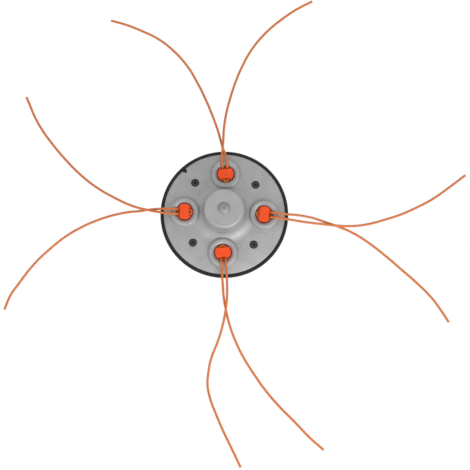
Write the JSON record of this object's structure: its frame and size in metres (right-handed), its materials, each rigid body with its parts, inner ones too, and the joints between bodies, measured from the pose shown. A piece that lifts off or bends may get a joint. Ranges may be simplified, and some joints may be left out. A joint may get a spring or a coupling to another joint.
{
  "type": "line trimmer head",
  "caption": "Fixed-line trimmer head: a domed aluminium cap with a raised ground hub on a black plastic plate, with folded cutting lines held under posts in raised eyelets.",
  "frame": {"origin": "on the axis of rotation, in the plane of the flat back face that bolts to the gearbox", "axes": "+Z along the axis of rotation, from the gearbox towards the ground hub; +X through the centre of the first eyelet"},
  "size_m": [0.4604, 0.4781, 0.05],
  "materials": {
    "black_plastic": "moulded glass-filled nylon, satin",
    "cast_aluminium": "die cast, fine blasted satin",
    "steel": "turned, oiled",
    "orange_plastic": "moulded nylon, light gloss",
    "line_nylon": "extruded nylon monofilament, translucent satin",
    "black_steel": "black oxide",
    "zinc_steel": "zinc plated"
  },
  "bodies": {
    "root": {"back_plate": "black_plastic", "cap": "cast_aluminium", "arbor_insert": "steel", "line_post_1": "orange_plastic", "line_post_2": "orange_plastic", "line_post_3": "orange_plastic", "line_post_4": "orange_plastic", "line_1": "line_nylon", "line_2": "line_nylon", "line_3": "line_nylon", "line_4": "line_nylon", "screw_1": "black_steel", "screw_2": "black_steel", "screw_3": "black_steel", "screw_4": "black_steel", "nut_1": "zinc_steel", "nut_2": "zinc_steel", "nut_3": "zinc_steel", "nut_4": "zinc_steel"}
  },
  "joints": []
}
